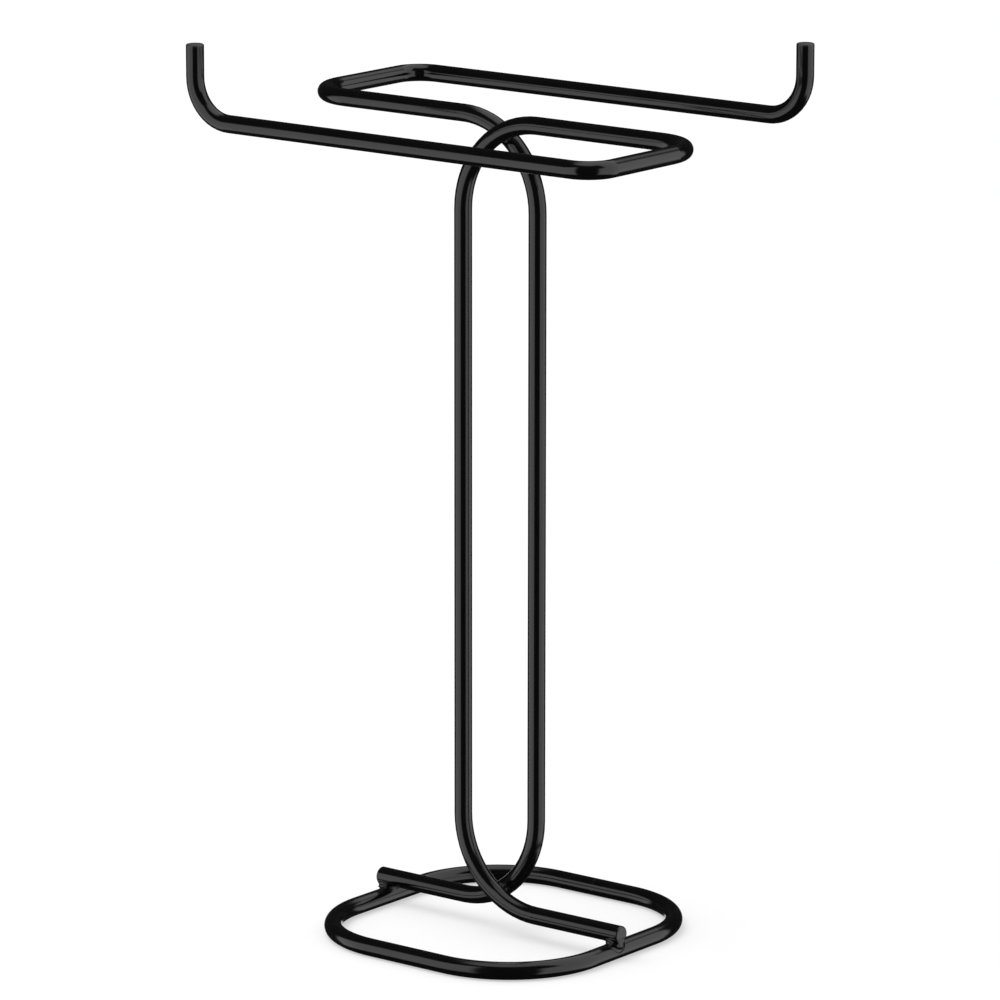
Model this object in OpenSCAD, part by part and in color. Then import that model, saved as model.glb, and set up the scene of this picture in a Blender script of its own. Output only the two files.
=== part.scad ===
// Countertop towel stand in round steel wire. Two equal wires, each with a foot, a leg,
// a side loop and a towel bar with a hooked end, are welded together where they cross
// and stand on a closed base ring. The second wire is the first turned half round
// about the vertical. Millimetres, +Z up, counter at z = 0, towel bars along X, and
// the front bar on the -Y side. Bend radii are measured on the wire's centre line.

/* [Wire] */
// Diameter of the round steel wire
wire_d = 8; // [6:0.5:10]
// Rounding on the rim of each cut end
end_round = 0.8; // [0.4:0.1:1.5]

/* [Legs and feet] */
// Distance between the two legs, centre to centre
leg_pitch = 35; // [30:1:44]
// Bend radius between a leg and its foot
lower_bend_r = 41; // [36:1:46]
// Bend radius between a leg and its top run
upper_bend_r = 41; // [36:1:46]
// How far a foot's end passes the centre line of the ring under it
foot_overhang = 5; // [0:0.5:12]

/* [Towel bars] */
// Height of the towel bars' centre lines above the counter
bar_height = 369.5; // [300:0.5:460]
// Distance between the two towel bars, centre to centre
bar_spacing = 167.5; // [140:0.5:200]
// Distance of a hook's upright end from the middle of the stand
bar_reach = 103.5; // [90:0.5:150]
// Bend radius between a towel bar and its hook
hook_bend_r = 19; // [12:1:24]
// Height of a hook's end above the bar's centre line
hook_rise = 33.5; // [28:0.5:50]

/* [Side loops] */
// Distance of a loop's outer side from the middle of the stand
loop_reach = 115; // [95:1:130]
// Bend radius between a top run and the loop's outer side
run_corner_r = 24; // [12:1:36]
// Bend radius between the loop's outer side and the towel bar
bar_corner_r = 12; // [8:1:20]

/* [Base ring] */
// Width of the ring along the towel bars, between centre lines
ring_w = 134; // [116:0.5:160]
// Depth of the ring from front to rear, between centre lines
ring_l = 138; // [120:0.5:160]
// Corner radius of the ring
ring_corner_r = 46; // [30:1:50]
// How far the ring sits towards the rear of the bars' middle
ring_shift = 3; // [-4:0.5:4]
// Length of the butt weld that closes the ring at the rear
seam_length = 1.2; // [0.8:0.1:2]

/* [Cross welds] */
// Distance between the surfaces of two crossing wires, which the weld bridges
weld_gap = 0.3; // [0.25:0.05:0.5]
// Clearance between a weld and the wires that it joins
weld_clearance = 0.1; // [0.05:0.01:0.1]
// How much slimmer than the wire a weld is at its waist, on the radius
weld_waist_inset = 1.2; // [0.9:0.1:1.6]
// How much slimmer than the wire a weld is at its ends, on the radius
weld_end_inset = 0.4; // [0.2:0.1:0.7]
// Radius of the hollow round a weld's waist
weld_hollow_r = 2.6; // [2.2:0.1:4]

/* [Hidden] */
$fn = 256;
black = [0.045, 0.045, 0.05];

wire_r = wire_d / 2;
cross_pitch = wire_d + weld_gap;
plane_y = cross_pitch / 2;
ring_z = wire_r;
foot_z = ring_z + cross_pitch;
leg_x = leg_pitch / 2;
bar_y = bar_spacing / 2;
ring_x = ring_w / 2;
ring_front_y = ring_shift - ring_l / 2;
ring_rear_y = ring_shift + ring_l / 2;

// The wires cross above the middle of the stand, inside the legs' bends
upper_cross_z = bar_height - upper_bend_r + bend_rise(upper_bend_r);
lower_cross_z = foot_z + lower_bend_r - bend_rise(lower_bend_r);

// Centre line of the front wire, from the end of its foot to the tip of its hook
front_path = [
    [ring_x + foot_overhang, -plane_y, foot_z],
    [-leg_x, -plane_y, foot_z],
    [-leg_x, -plane_y, bar_height],
    [loop_reach, -plane_y, bar_height],
    [loop_reach, -bar_y, bar_height],
    [-bar_reach, -bar_y, bar_height],
    [-bar_reach, -bar_y, bar_height + hook_rise]
];
front_radii = [lower_bend_r, upper_bend_r, run_corner_r, bar_corner_r, hook_bend_r];

// Centre line of the ring, from one side of its seam round to the other
ring_path = [
    [-seam_length / 2, ring_rear_y, ring_z],
    [-ring_x, ring_rear_y, ring_z],
    [-ring_x, ring_front_y, ring_z],
    [ring_x, ring_front_y, ring_z],
    [ring_x, ring_rear_y, ring_z],
    [seam_length / 2, ring_rear_y, ring_z]
];
ring_radii = [for (corner = [1 : 4]) ring_corner_r];

// Height above a bend's centre at which a leg's bend passes over the middle
function bend_rise(bend_r) = sqrt(bend_r * bend_r - (bend_r - leg_x) * (bend_r - leg_x));

// Direction in which a path leaves point i
function heading(path, i) = (path[i + 1] - path[i]) / norm(path[i + 1] - path[i]);

// Angle through which a path turns at point i
function turn(path, i) = acos(heading(path, i - 1) * heading(path, i));

// Length that the bend at point i takes from the straights on both sides of it
function setback(path, radii, i) =
    i == 0 || i == len(path) - 1 ? 0 : radii[i - 1] * tan(turn(path, i) / 2);

// A direction square to the given one
function square_to(dir) =
    let (side = abs(dir[2]) > 0.5 ? cross([1, 0, 0], dir) : cross([0, 0, 1], dir))
    side / norm(side);

// Puts a shape at a point, with its X and Z axes along two given directions
module placed(origin, x_dir, z_dir) {
    y_dir = cross(z_dir, x_dir);
    multmatrix([
        [x_dir[0], y_dir[0], z_dir[0], origin[0]],
        [x_dir[1], y_dir[1], z_dir[1], origin[1]],
        [x_dir[2], y_dir[2], z_dir[2], origin[2]],
        [0, 0, 0, 1]
    ])
        children();
}

// Straight wire of radius r with a cut end whose rim is rounded
module wire_end(r, length, rim_r) {
    rotate_extrude() {
        square([r - rim_r, length]);
        square([r, length - rim_r]);
        translate([r - rim_r, length - rim_r])
            circle(rim_r);
    }
}

// Bend of a wire of radius r at point i of a path
module wire_bend(r, path, radii, i) {
    bend_r = radii[i - 1];
    before = heading(path, i - 1);
    after = heading(path, i);
    inward = (after - before * (after * before)) / norm(after - before * (after * before));
    start = path[i] - before * setback(path, radii, i);
    placed(start + inward * bend_r, -inward, cross(-inward, before))
        rotate_extrude(angle = turn(path, i))
            translate([bend_r, 0])
                circle(r);
}

// Wire of radius r bent along a path, with square ends or with rounded rims
module bent_wire(r, path, radii, rim_r = 0) {
    last = len(path) - 2;
    for (i = [0 : last]) {
        dir = heading(path, i);
        start = path[i] + dir * setback(path, radii, i);
        end = path[i + 1] - dir * setback(path, radii, i + 1);
        length = norm(end - start);
        if (rim_r > 0 && i == 0)
            placed(end, square_to(dir), -dir)
                wire_end(r, length, rim_r);
        else if (rim_r > 0 && i == last)
            placed(start, square_to(dir), dir)
                wire_end(r, length, rim_r);
        else
            placed(start, square_to(dir), dir)
                cylinder(r = r, h = length);
    }
    for (i = [1 : last])
        wire_bend(r, path, radii, i);
}

// Weld metal along Z from the centre of one wire to the centre of the next, waisted
module weld_spool() {
    rotate_extrude()
        difference() {
            square([wire_r - weld_end_inset, cross_pitch]);
            translate([wire_r - weld_waist_inset + weld_hollow_r, cross_pitch / 2])
                circle(weld_hollow_r);
        }
}

// The wires and the ring, without colour, as the welds are cut to them
module front_shape(clearance = 0) {
    bent_wire(wire_r + clearance, front_path, front_radii, end_round);
}

module rear_shape(clearance = 0) {
    rotate([0, 0, 180])
        front_shape(clearance);
}

module ring_shape(clearance = 0) {
    bent_wire(wire_r + clearance, ring_path, ring_radii);
}

// Closed rounded square that lies on the counter
module base_ring() {
    color(black)
        ring_shape();
}

// Flush weld that closes the ring in the middle of its rear side
module ring_butt_weld() {
    color(black)
        placed([-seam_length / 2, ring_rear_y, ring_z], [0, 0, 1], [1, 0, 0])
            cylinder(r = wire_r, h = seam_length);
}

// Foot, left leg, right-hand loop and front towel bar with its hook
module front_wire() {
    color(black)
        front_shape();
}

// The same wire turned half round: right leg, left-hand loop and rear towel bar
module rear_wire() {
    color(black)
        rear_shape();
}

// Weld between the two wires where they cross, at a given height
module cross_weld(height) {
    color(black)
        difference() {
            placed([0, -plane_y, height], [1, 0, 0], [0, 1, 0])
                weld_spool();
            front_shape(weld_clearance);
            rear_shape(weld_clearance);
        }
}

// Weld between the front wire's foot and the ring's right-hand side
module front_foot_weld() {
    color(black)
        difference() {
            translate([ring_x, -plane_y, ring_z])
                weld_spool();
            front_shape(weld_clearance);
            ring_shape(weld_clearance);
        }
}

// Weld between the rear wire's foot and the ring's left-hand side
module rear_foot_weld() {
    color(black)
        difference() {
            translate([-ring_x, plane_y, ring_z])
                weld_spool();
            rear_shape(weld_clearance);
            ring_shape(weld_clearance);
        }
}

base_ring();
ring_butt_weld();
front_wire();
rear_wire();
cross_weld(upper_cross_z);  // upper_cross_weld
cross_weld(lower_cross_z);  // lower_cross_weld
front_foot_weld();
rear_foot_weld();
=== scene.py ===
"""Looks of the countertop towel stand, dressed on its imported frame. Metres, +Z up."""

import math

import bmesh
import bpy
from mathutils import Matrix, Vector
from mathutils.bvhtree import BVHTree


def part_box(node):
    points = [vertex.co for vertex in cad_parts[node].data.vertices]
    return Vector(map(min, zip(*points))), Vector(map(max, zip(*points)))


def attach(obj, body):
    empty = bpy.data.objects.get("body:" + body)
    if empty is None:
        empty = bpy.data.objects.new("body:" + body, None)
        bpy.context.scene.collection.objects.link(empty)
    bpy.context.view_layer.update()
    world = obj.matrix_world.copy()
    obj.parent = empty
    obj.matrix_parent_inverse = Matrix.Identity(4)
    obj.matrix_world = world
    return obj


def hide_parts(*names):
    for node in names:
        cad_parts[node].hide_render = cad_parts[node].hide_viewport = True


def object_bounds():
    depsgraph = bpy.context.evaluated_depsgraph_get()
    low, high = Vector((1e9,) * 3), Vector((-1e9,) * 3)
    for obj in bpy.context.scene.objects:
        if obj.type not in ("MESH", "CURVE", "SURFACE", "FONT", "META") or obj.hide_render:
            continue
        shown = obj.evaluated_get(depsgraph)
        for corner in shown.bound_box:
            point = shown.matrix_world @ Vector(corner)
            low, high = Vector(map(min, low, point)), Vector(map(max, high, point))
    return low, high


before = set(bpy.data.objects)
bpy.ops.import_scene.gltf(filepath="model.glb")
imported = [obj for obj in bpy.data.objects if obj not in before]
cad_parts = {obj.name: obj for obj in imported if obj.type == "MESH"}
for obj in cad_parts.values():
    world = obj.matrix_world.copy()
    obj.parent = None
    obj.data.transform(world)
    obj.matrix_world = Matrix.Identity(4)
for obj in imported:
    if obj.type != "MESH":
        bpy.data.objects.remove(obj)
cad_low, cad_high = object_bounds()

MM = 0.001
RIGHT = Vector((1, 0, 0))
REARWARD = Vector((0, 1, 0))
UPWARD = Vector((0, 0, 1))
NOWHERE = Vector((0, 0, 0))

# Camera, at the photograph's viewing angle
CAMERA_AZIMUTH = math.radians(38.1)
CAMERA_ELEVATION = math.radians(12.755)
CAMERA_ROLL = math.radians(0.054)
CAMERA_DISTANCE = 2.8013
CAMERA_TARGET = Vector((0, 0, 0.1988))
CAMERA_LENS = 227.55
CAMERA_SENSOR = 36
CAMERA_CLIP_END = 100

# Gloss black paint: two blacks that drift into each other in clouds, how finely these are
# broken up, and the stretch of their noise over which the roughness goes from its least to
# its greatest
DEEP_BLACK = (0.0022, 0.0022, 0.0023, 1)
DUSTY_BLACK = (0.0038, 0.0038, 0.0039, 1)
CLOUD_DETAIL = 4
CLOUD_START = 0.3
CLOUD_END = 0.7
PAINT_IOR = 1.6

# Orange peel, and the longer waves under it, whose depth is a multiple of the peel's
PEEL_SCALE = 420
PEEL_DETAIL = 2
WAVE_SCALE = 110
WAVE_DETAIL = 1
WAVE_TO_PEEL = 2.5

# Each paint's depth of peel, least and greatest roughness, and scale of its clouds
WIRE_FINISH = {"peel_depth": 0.006 * MM, "roughness": (0.10, 0.18), "cloud_scale": 60}
WELD_FINISH = {"peel_depth": 0.010 * MM, "roughness": (0.16, 0.26), "cloud_scale": 90}

# Wear on the cut ends of the hooks, with a painted sheen: their grey is lighter than the paint to
# stand in for light on the end faces. Its colour, how far down it reaches, and its roughness
WEAR_AND_SHEEN_GREY = (0.06, 0.06, 0.062, 1)
WEAR_AND_SHEEN_DEPTH = 1.3 * MM
WORN_ROUGHNESS = 0.5

# Welds that get a bead: the two pieces that the weld joins, the direction from the first to
# the second, and the direction in which the metal reaches further, under a foot's cut end
WELDS = {
    "upper_cross_weld": (("front_wire", "rear_wire"), REARWARD, NOWHERE),
    "lower_cross_weld": (("front_wire", "rear_wire"), REARWARD, NOWHERE),
    "front_foot_weld": (("base_ring", "front_wire"), UPWARD, RIGHT),
    "rear_foot_weld": (("base_ring", "rear_wire"), UPWARD, -RIGHT),
}

# Weld beads: how far the metal reaches from one wire to the other, and how much further
# under a foot's cut end
BEAD_BLEND = 1.9 * MM
BEAD_SPREAD = 2.6 * MM
# How full the fillet is: 1 is hollow and 2 nearly flat
BEAD_FULLNESS = 1.6
# How proud the toes stand on the wires, and how deep the edges are sunk below them
BEAD_TOE = 0.04 * MM
BEAD_SINK = 0.15 * MM
# Points round a bead, and rows of points from its waist to each toe
BEAD_STEPS = 128
BEAD_ROWS = 6
# Ripples round a bead: their depth, number and bow, an angle in radians
RIPPLE_DEPTH = 0.07 * MM
RIPPLES = 16
RIPPLE_BOW = 1.1
# Rounds in which a point settles, and the gap below which a surface's own normal is used
SETTLE_ROUNDS = 12
SKIN_NEAR = 0.15 * MM

# Light levels. At 1 a white surface renders white, and a sun of strength pi gives 1 to a
# surface that faces it
WHITE_LEVEL = 1.0
SKY_LEVEL = 0.62
SUN_LEVEL = 0.38
SUN_ANGLE = math.radians(50)
SUN_TILT = (math.radians(14), math.radians(-16), 0)

# Floor: its size and grey, and the glow that makes it white where nothing shades it
FLOOR_RADIUS = 6.0
FLOOR_SEGMENTS = 128
FLOOR_WHITE = 0.55
FLOOR_GLOW = 0.5

# Dark room that the gloss shows, with far white panels in it. In degrees: the bearing of a
# panel's middle, from the camera's side round to the right, its half width, and its lower
# and upper edge above the horizon. Then how much the upper edge climbs to the right, and how
# bright the panel is
ROOM_LEVEL = 0.02
PANELS = {
    "right_wall": (75, 42, -42, 34, 0.2, 1.0),
    "high_right_wall": (88, 30, 20, 75, 0, 1.0),
    "rear_canopy": (138, 46, 37, 80, 0, 0.9),
    "high_rear_wall": (165, 36, 52, 96, 0, 0.9),
    "ceiling": (0, 190, 67, 96, 0, 1.0),
    "backdrop": (180, 12, -19, -6, 0, 1.0),
}
PANEL_SOFT = math.radians(5)

# White wall on the left, so near that the base sees its edges higher up than the bars do.
# Angles are as above, and distance, edges and their softness are in metres. The upper edge
# climbs to the right by so many metres per radian
WALL_BEARING = math.radians(-75)
WALL_HALF_WIDTH = math.radians(40)
WALL_DISTANCE = 1.1
WALL_LOW = -0.62
WALL_HIGH = 0.75
WALL_CLIMB = 0.8
WALL_SOFT = 0.1
# How far its mesh goes on beyond its edges, and the number of flat strips it is made of
WALL_SIDE_MARGIN = 2 * PANEL_SOFT
WALL_MARGIN = 0.4
WALL_STRIPS = 48


class Nodes:
    """Node tree of a material or world, emptied for new nodes."""

    def __init__(self, owner):
        owner.use_nodes = True
        self.tree = owner.node_tree
        self.tree.nodes.clear()

    def add(self, kind, inputs=None, **settings):
        """Adds a node whose inputs are constants or other nodes' outputs."""
        node = self.tree.nodes.new(kind)
        for name, value in settings.items():
            setattr(node, name, value)
        for name, value in (inputs or {}).items():
            if isinstance(value, bpy.types.NodeSocket):
                self.tree.links.new(value, node.inputs[name])
            else:
                node.inputs[name].default_value = value
        return node

    def math(self, operation, first, second=0.0):
        """Result of a sum with one or two values."""
        inputs = {0: first, 1: second}
        return self.add("ShaderNodeMath", inputs, operation=operation).outputs[0]

    def rescale(self, value, start, end, low=0.0, high=1.0, shape="LINEAR"):
        """Value that goes from low to high while the given one goes from start to end."""
        return self.add("ShaderNodeMapRange", {
            "Value": value,
            "From Min": start, "From Max": end,
            "To Min": low, "To Max": high,
        }, interpolation_type=shape).outputs["Result"]

    def soft_step(self, value, middle, soft):
        """Value that rises softly from 0 to 1 where the given one passes the middle."""
        past = self.math("SUBTRACT", value, middle)
        return self.rescale(past, -soft, soft, shape="SMOOTHSTEP")


def to_scene(item):
    """Links an object to the scene."""
    bpy.context.scene.collection.objects.link(item)
    return item


def mesh_object(name, mesh, material):
    """Object in the scene made of a finished bmesh and a material."""
    data = bpy.data.meshes.new(name)
    mesh.to_mesh(data)
    mesh.free()
    data.materials.append(material)
    return to_scene(bpy.data.objects.new(name, data))


def paint(name, peel_depth, roughness, cloud_scale):
    """Gloss black paint with a fine orange peel; the cut ends of the hooks have wear that dulls
    them and a painted sheen, a lighter grey.
    """
    material = bpy.data.materials.new(name)
    nodes = Nodes(material)
    place = nodes.add("ShaderNodeTexCoord").outputs["Object"]

    def noise(scale, detail):
        inputs = {"Vector": place, "Scale": scale, "Detail": detail}
        return nodes.add("ShaderNodeTexNoise", inputs).outputs["Fac"]

    def bump(height, depth, below=None):
        inputs = {"Height": height, "Distance": depth, "Strength": 1}
        if below is not None:
            inputs["Normal"] = below
        return nodes.add("ShaderNodeBump", inputs).outputs["Normal"]

    clouds = noise(cloud_scale, CLOUD_DETAIL)
    black = nodes.add("ShaderNodeMix", {
        "Factor": clouds, "A": DEEP_BLACK, "B": DUSTY_BLACK,
    }, data_type="RGBA")
    height = nodes.add("ShaderNodeSeparateXYZ", {"Vector": place}).outputs["Z"]
    # Wear and painted sheen: near the top of the hook ends the paint turns a lighter grey and
    # rougher
    wear_and_sheen = nodes.rescale(height, cad_high.z - WEAR_AND_SHEEN_DEPTH, cad_high.z)
    colour = nodes.add("ShaderNodeMix", {
        "Factor": wear_and_sheen, "A": black.outputs["Result"], "B": WEAR_AND_SHEEN_GREY,
    }, data_type="RGBA")
    gloss = nodes.rescale(clouds, CLOUD_START, CLOUD_END, *roughness)
    dull = nodes.math("MULTIPLY", wear_and_sheen, WORN_ROUGHNESS)
    waves = bump(noise(WAVE_SCALE, WAVE_DETAIL), peel_depth * WAVE_TO_PEEL)
    shader = nodes.add("ShaderNodeBsdfPrincipled", {
        "Base Color": colour.outputs["Result"],
        "Roughness": nodes.math("MAXIMUM", gloss, dull),
        "Normal": bump(noise(PEEL_SCALE, PEEL_DETAIL), peel_depth, waves),
        "IOR": PAINT_IOR,
    })
    nodes.add("ShaderNodeOutputMaterial", {"Surface": shader.outputs["BSDF"]})
    return material


def dress_frame(wire_paint, weld_paint):
    """Gives the frame's own pieces their paint."""
    for name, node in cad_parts.items():
        for slot in node.material_slots:
            slot.material = weld_paint if "weld" in name else wire_paint


def wire_skin(node):
    """Function that gives a point's gap to a piece's surface and the direction out of it."""
    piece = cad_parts[node]
    points = [piece.matrix_world @ vertex.co for vertex in piece.data.vertices]
    tree = BVHTree.FromPolygons(points, [face.vertices[:] for face in piece.data.polygons])

    def skin(point):
        nearest, normal, _, gap = tree.find_nearest(point)
        away = point - nearest
        if away.dot(normal) < 0:
            return -gap, normal
        return gap, (away.normalized() if gap > SKIN_NEAR else normal)

    return skin


def settle(skins, gaps, centre, out, axis, start):
    """Moves a point in the plane of out and axis until it has the wanted gaps to two skins.

    Gives the point's place along out and axis, and the directions out of both skins.
    """
    reach, rise = start
    for _ in range(SETTLE_ROUNDS):
        point = centre + out * reach + axis * rise
        (gap_1, way_1), (gap_2, way_2) = (skin(point) for skin in skins)
        miss_1, miss_2 = gaps[0] - gap_1, gaps[1] - gap_2
        out_1, axis_1 = way_1.dot(out), way_1.dot(axis)
        out_2, axis_2 = way_2.dot(out), way_2.dot(axis)
        divisor = out_1 * axis_2 - axis_1 * out_2
        reach += (axis_2 * miss_1 - axis_1 * miss_2) / divisor
        rise += (out_1 * miss_2 - out_2 * miss_1) / divisor
    return (reach, rise), (way_1, way_2)


def fillet_gaps(lean, blend):
    """Gaps to both wires of a point on the fillet, where the first is larger by the lean.

    A hollow fillet is the surface on which a smooth minimum of both gaps is nought.
    """
    least = BEAD_TOE + BEAD_FULLNESS * (blend - abs(lean)) ** 2 / (4 * blend)
    return least + max(lean, 0), least + max(-lean, 0)


def bead_side(skins, centre, out, axis, turn, blend, way, start):
    """Points of a bead at one turn, from its waist to its toe on one wire and into the wire."""
    spot = (start, 0)
    points = []
    for row in range(BEAD_ROWS + 1):
        lean = way * blend * row / BEAD_ROWS
        spot, (way_1, way_2) = settle(skins, fillet_gaps(lean, blend), centre, out, axis, spot)
        share = (1 + way * row / BEAD_ROWS) / 2
        normal = way_1.lerp(way_2, share).normalized()
        height = math.sin(math.pi * share)
        groove = height * abs(math.sin(turn * RIPPLES / 2 + RIPPLE_BOW * height))
        point = centre + out * spot[0] + axis * spot[1]
        points.append(point - normal * RIPPLE_DEPTH * groove)
    points.append(point - normal * (BEAD_TOE + BEAD_SINK))
    return points


def weld_bead(node, wires, axis, spread, material):
    """Rippled fillet of weld metal round the place where two wires cross.

    axis points from the first wire to the second, and spread where the metal reaches
    further.
    """
    low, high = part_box(node)
    centre = (low + high) / 2
    cross = axis.cross(RIGHT)
    skins = [wire_skin(wire) for wire in wires]
    start = (high - low).x / 2
    columns = []
    for step in range(BEAD_STEPS):
        turn = math.tau * step / BEAD_STEPS
        out = RIGHT * math.cos(turn) + cross * math.sin(turn)
        blend = BEAD_BLEND + BEAD_SPREAD * ((spread.length + out.dot(spread)) / 2) ** 2
        below, above = (
            bead_side(skins, centre, out, axis, turn, blend, way, start)
            for way in (-1, 1)
        )
        # Both sides have the point at the waist, so the side below leaves it out
        columns.append(below[:0:-1] + above)

    mesh = bmesh.new()
    rows = [[mesh.verts.new(point) for point in row] for row in zip(*columns)]
    for lower, upper in zip(rows, rows[1:]):
        for step in range(BEAD_STEPS):
            after = (step + 1) % BEAD_STEPS
            mesh.faces.new((lower[step], lower[after], upper[after], upper[step]))
    caps = [mesh.faces.new(rows[0][::-1]), mesh.faces.new(rows[-1])]
    bmesh.ops.triangulate(mesh, faces=caps)
    bead = mesh_object(node + "_bead", mesh, material)
    bead.data.shade_smooth()
    return bead


def dress_welds(material):
    """Puts a bead in the place of each weld between two pieces."""
    for node, (wires, axis, spread) in WELDS.items():
        bead = weld_bead(node, wires, axis, spread, material)
        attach(bead, "root")
        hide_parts(node)


def make_floor():
    """Pale floor that keeps the shadow and is white where nothing shades it."""
    material = bpy.data.materials.new("floor")
    nodes = Nodes(material)
    light = nodes.add("ShaderNodeLightPath").outputs
    seen = nodes.math("MAXIMUM", light["Is Camera Ray"], light["Is Glossy Ray"])
    seen = nodes.math("MAXIMUM", seen, light["Is Transmission Ray"])
    white = (FLOOR_WHITE, FLOOR_WHITE, FLOOR_WHITE, 1)
    matt = nodes.add("ShaderNodeBsdfDiffuse", {"Color": white})
    glow = nodes.add("ShaderNodeEmission", {"Strength": nodes.math("MULTIPLY", seen, FLOOR_GLOW)})
    both = nodes.add("ShaderNodeAddShader", {0: matt.outputs[0], 1: glow.outputs[0]})
    nodes.add("ShaderNodeOutputMaterial", {"Surface": both.outputs[0]})
    material.cycles.emission_sampling = "NONE"

    mesh = bmesh.new()
    bmesh.ops.create_circle(mesh, cap_ends=True, segments=FLOOR_SEGMENTS, radius=FLOOR_RADIUS)
    floor = mesh_object("floor", mesh, material)
    floor.visible_glossy = False


def heading(bearing):
    """Horizontal direction at a bearing from the camera's side round to the right."""
    turn = CAMERA_AZIMUTH + bearing
    return Vector((math.sin(turn), -math.cos(turn), 0))


def panel_mask(nodes, direction, height, soft, bearing, half_width, low, high, climb):
    """Value that is 1 on a panel and 0 beside it, with soft edges.

    height has the unit of the low and high edges and their softness, and angles are in
    radians.
    """
    def along(way):
        inputs = {0: direction, 1: heading(way)}
        return nodes.add("ShaderNodeVectorMath", inputs, operation="DOT_PRODUCT").outputs["Value"]

    aside = nodes.math("ARCTAN2", along(bearing + math.pi / 2), along(bearing))
    beside = nodes.soft_step(nodes.math("ABSOLUTE", aside), half_width, PANEL_SOFT)
    top = nodes.math("ADD", nodes.math("MULTIPLY", aside, climb), high)
    below_top = nodes.math("SUBTRACT", 1, nodes.soft_step(height, top, soft))
    tall = nodes.math("MULTIPLY", nodes.soft_step(height, low, soft), below_top)
    return nodes.math("MULTIPLY", nodes.math("SUBTRACT", 1, beside), tall)


def make_left_wall():
    """White wall on the left that shows in the gloss and lights nothing else."""
    material = bpy.data.materials.new("left_wall")
    nodes = Nodes(material)
    place = nodes.add("ShaderNodeTexCoord").outputs["Object"]
    height = nodes.add("ShaderNodeSeparateXYZ", {"Vector": place}).outputs["Z"]
    mask = panel_mask(
        nodes, place, height, WALL_SOFT,
        WALL_BEARING, WALL_HALF_WIDTH, WALL_LOW, WALL_HIGH, WALL_CLIMB,
    )
    clear = nodes.add("ShaderNodeBsdfTransparent")
    glow = nodes.add("ShaderNodeEmission", {"Strength": WHITE_LEVEL})
    shader = nodes.add("ShaderNodeMixShader", {0: mask, 1: clear.outputs[0], 2: glow.outputs[0]})
    nodes.add("ShaderNodeOutputMaterial", {"Surface": shader.outputs[0]})
    material.cycles.emission_sampling = "NONE"

    reach = WALL_HALF_WIDTH + WALL_SIDE_MARGIN
    low = WALL_LOW - WALL_MARGIN
    high = WALL_HIGH + WALL_CLIMB * reach + WALL_MARGIN
    mesh = bmesh.new()
    columns = []
    for step in range(WALL_STRIPS + 1):
        bearing = WALL_BEARING + reach * (2 * step / WALL_STRIPS - 1)
        foot = heading(bearing) * WALL_DISTANCE
        columns.append([mesh.verts.new(foot + UPWARD * level) for level in (low, high)])
    for (low_left, high_left), (low_right, high_right) in zip(columns, columns[1:]):
        mesh.faces.new((low_left, high_left, high_right, low_right))
    wall = mesh_object("left_wall", mesh, material)
    wall.visible_camera = False
    wall.visible_diffuse = False
    wall.visible_shadow = False
    wall.visible_volume_scatter = False


def make_world():
    """White for the camera, even light for surfaces, and a dark room with panels for gloss."""
    world = bpy.data.worlds.new("studio")
    bpy.context.scene.world = world
    world.cycles.sampling_method = "NONE"
    nodes = Nodes(world)
    direction = nodes.add("ShaderNodeTexCoord").outputs["Generated"]
    split = nodes.add("ShaderNodeSeparateXYZ", {"Vector": direction})
    height = nodes.math("ARCSINE", split.outputs["Z"])
    room = ROOM_LEVEL
    for *angles, climb, brightness in PANELS.values():
        shape = [math.radians(angle) for angle in angles]
        mask = panel_mask(nodes, direction, height, PANEL_SOFT, *shape, climb)
        room = nodes.math("MAXIMUM", nodes.math("MULTIPLY", mask, brightness), room)

    light = nodes.add("ShaderNodeLightPath").outputs
    gloss = nodes.math("MAXIMUM", light["Is Glossy Ray"], light["Is Transmission Ray"])
    unseen = nodes.add("ShaderNodeMix", {
        "Factor": gloss, "A": SKY_LEVEL, "B": room,
    }, data_type="FLOAT")
    strength = nodes.add("ShaderNodeMix", {
        "Factor": light["Is Camera Ray"], "A": unseen.outputs["Result"], "B": WHITE_LEVEL,
    }, data_type="FLOAT")
    shader = nodes.add("ShaderNodeBackground", {
        "Color": (1, 1, 1, 1), "Strength": strength.outputs["Result"],
    })
    nodes.add("ShaderNodeOutputWorld", {"Surface": shader.outputs[0]})


def make_lamp():
    """Very soft light from above, for the shadow."""
    sun = bpy.data.lights.new("overhead", "SUN")
    sun.energy = SUN_LEVEL * math.pi
    sun.angle = SUN_ANGLE
    lamp = to_scene(bpy.data.objects.new("overhead", sun))
    lamp.rotation_euler = SUN_TILT
    lamp.visible_glossy = False


def make_camera():
    """Camera at the photograph's viewing angle."""
    data = bpy.data.cameras.new("camera")
    data.lens = CAMERA_LENS
    data.sensor_width = CAMERA_SENSOR
    data.clip_end = CAMERA_CLIP_END
    camera = to_scene(bpy.data.objects.new("camera", data))
    back = Vector((
        math.sin(CAMERA_AZIMUTH) * math.cos(CAMERA_ELEVATION),
        -math.cos(CAMERA_AZIMUTH) * math.cos(CAMERA_ELEVATION),
        math.sin(CAMERA_ELEVATION),
    ))
    camera.location = CAMERA_TARGET + back * CAMERA_DISTANCE
    turn = (-back).to_track_quat("-Z", "Y").to_matrix() @ Matrix.Rotation(CAMERA_ROLL, 3, "Z")
    camera.rotation_euler = turn.to_euler()
    bpy.context.scene.camera = camera


bpy.context.scene.view_settings.view_transform = "Standard"
make_camera()
make_world()
make_left_wall()
make_lamp()
make_floor()
wire_paint = paint("wire_paint", **WIRE_FINISH)
weld_paint = paint("weld_paint", **WELD_FINISH)
dress_frame(wire_paint, weld_paint)
dress_welds(weld_paint)
